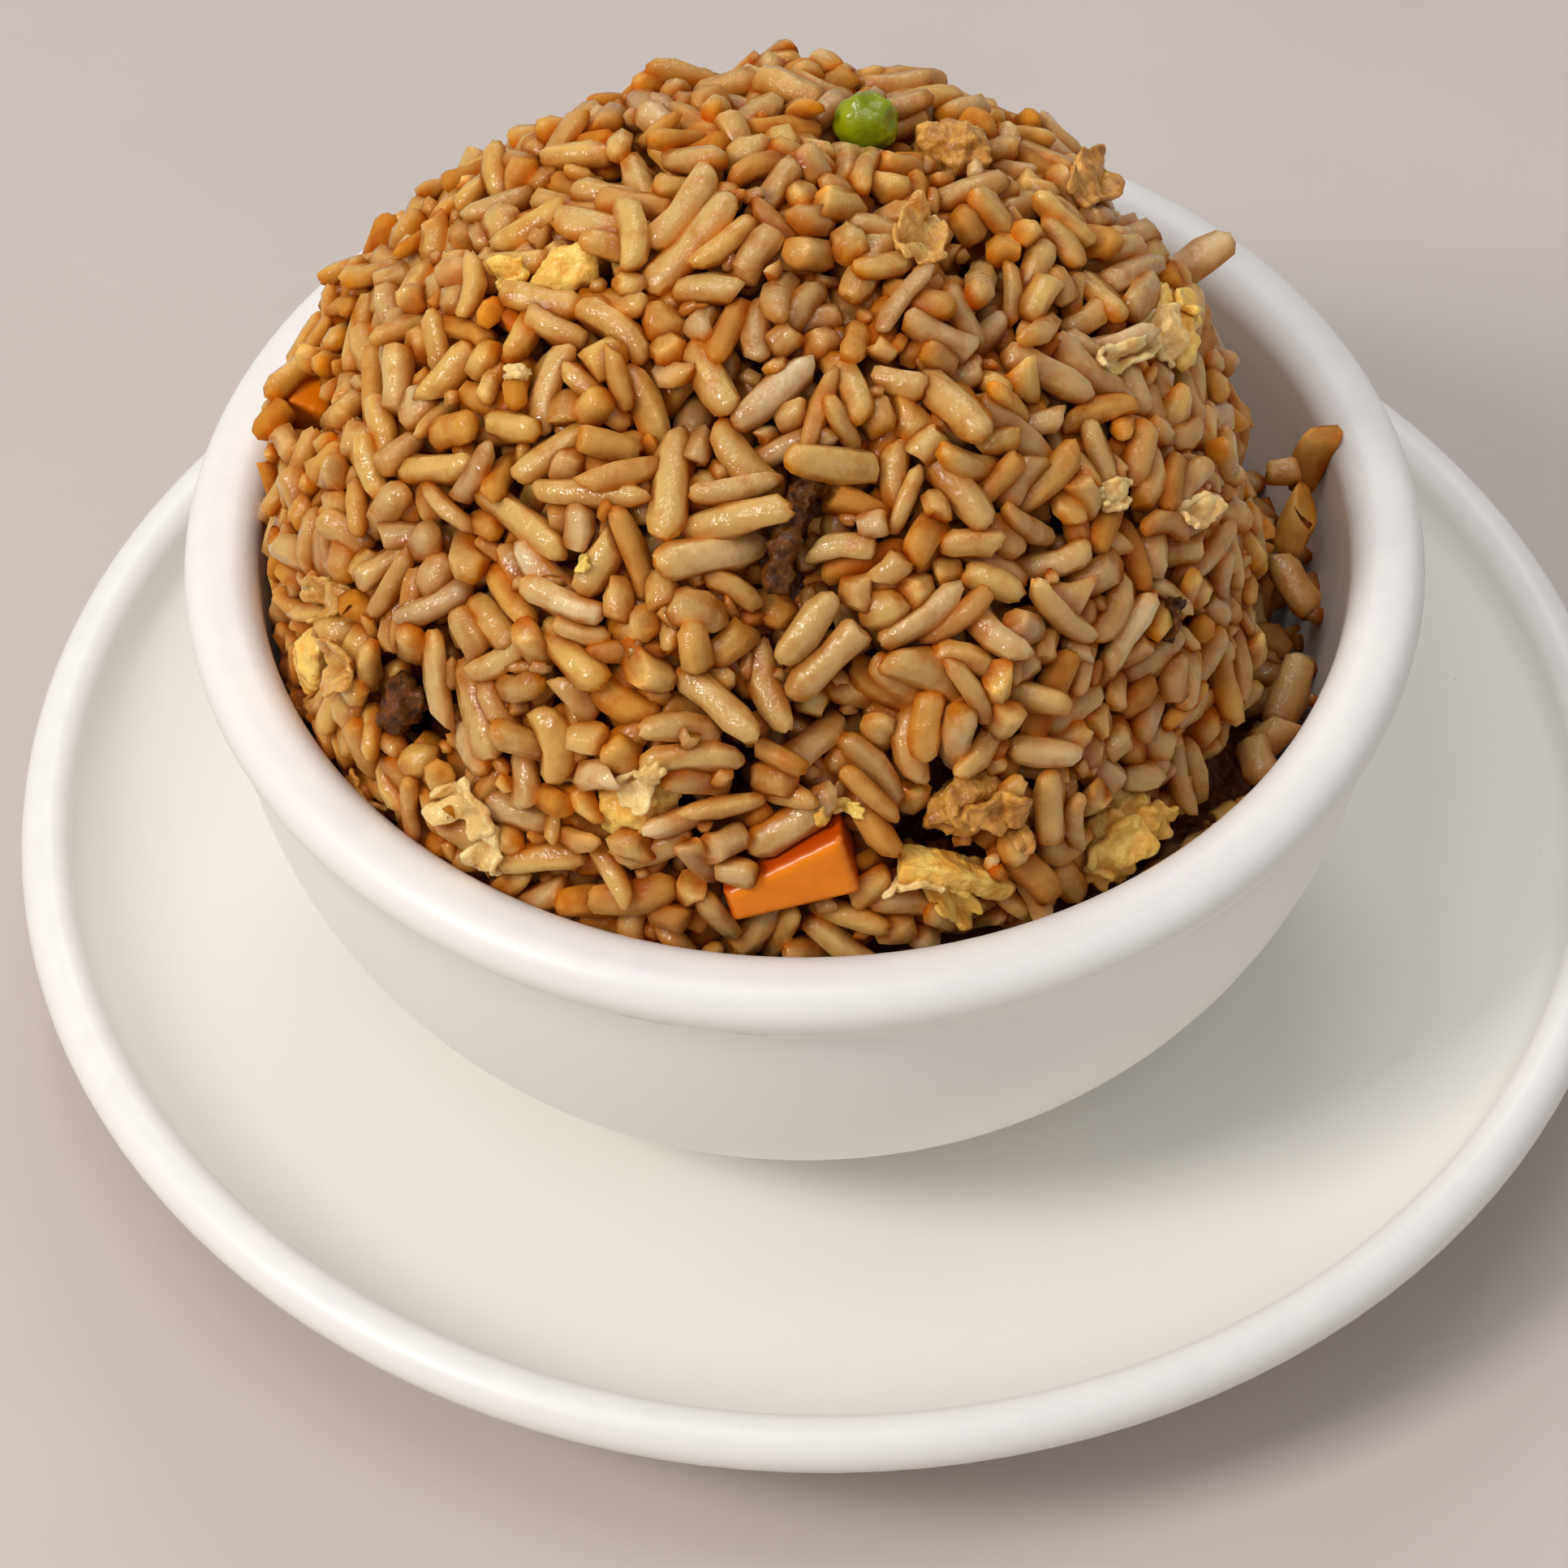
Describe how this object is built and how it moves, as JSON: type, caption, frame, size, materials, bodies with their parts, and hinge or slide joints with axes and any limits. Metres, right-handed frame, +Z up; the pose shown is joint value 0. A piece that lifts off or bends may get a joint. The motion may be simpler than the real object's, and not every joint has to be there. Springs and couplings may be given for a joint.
{
  "type": "bowl of fried rice on a plate",
  "caption": "Small round bowl with a tall dome of fried rice, with carrot, egg and pea pieces, standing on a round plate with a rolled rim.",
  "frame": {"origin": "centre of the plate's foot, on the surface that it stands on", "axes": "+Z up, -Y towards the side where the carrot block shows"},
  "size_m": [0.1396, 0.1396, 0.0852],
  "materials": {
    "ware": "soft gloss, warm white glaze",
    "rice": "moist, lightly oiled",
    "carrot": "moist",
    "pea": "moist",
    "egg": "moist, creased",
    "chicken": "fibrous, browned",
    "browned": "browned, oily"
  },
  "bodies": {
    "root": {"plate": "ware", "bowl": "ware", "rice_heap": "rice", "carrot_front": "carrot", "carrot_left": "carrot", "green_pea": "pea", "egg_front": "egg", "egg_right": "egg", "egg_back": "egg", "egg_middle": "egg", "egg_top": "egg", "egg_left": "egg", "chicken_back": "chicken", "chicken_front": "chicken", "browned_left": "browned", "browned_sliver": "browned"}
  },
  "joints": []
}
